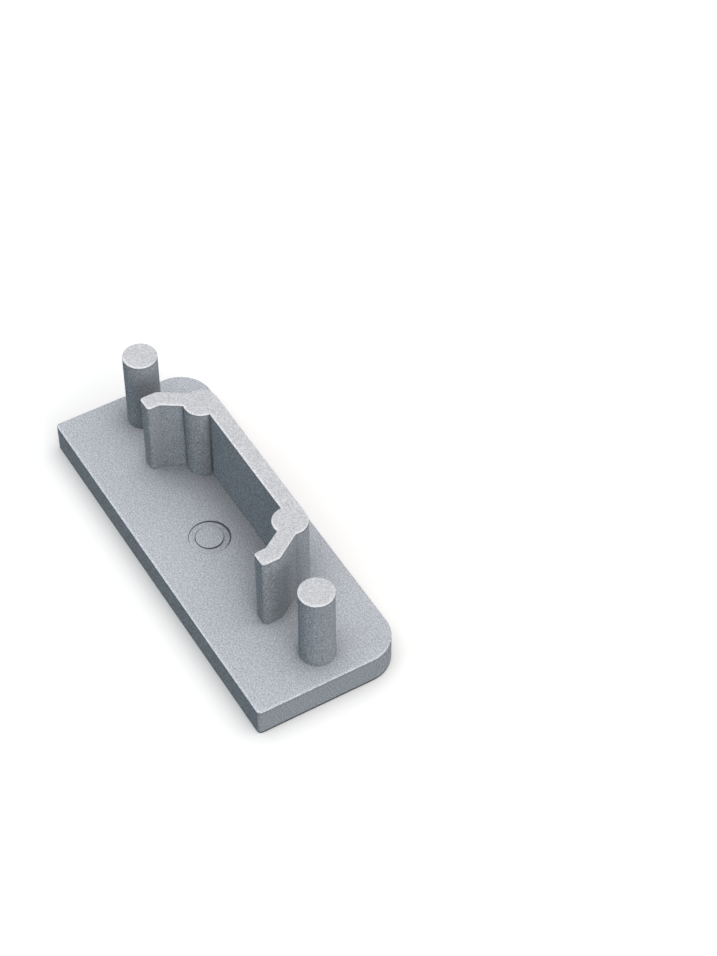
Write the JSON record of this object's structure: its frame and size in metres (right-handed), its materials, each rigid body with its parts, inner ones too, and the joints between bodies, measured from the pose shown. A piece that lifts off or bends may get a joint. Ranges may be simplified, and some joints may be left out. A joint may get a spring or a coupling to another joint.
{
  "type": "profile end cap",
  "caption": "Flat end plate with rounded upper corners, a bent channel tongue and round pins that press into the screw channels of an extruded profile to close its end.",
  "frame": {"origin": "middle of the plate's flat outer face, which is also the bottom of the part as it lies", "axes": "+X along the plate, +Y across it towards the long side with the rounded corners, +Z out of the inner face along the pins"},
  "size_m": [0.024, 0.009, 0.0068],
  "materials": {
    "moulding": "silver-grey moulded plastic, matte, with a fine speckled grain"
  },
  "bodies": {
    "root": {"end_cap": "moulding"}
  },
  "joints": []
}
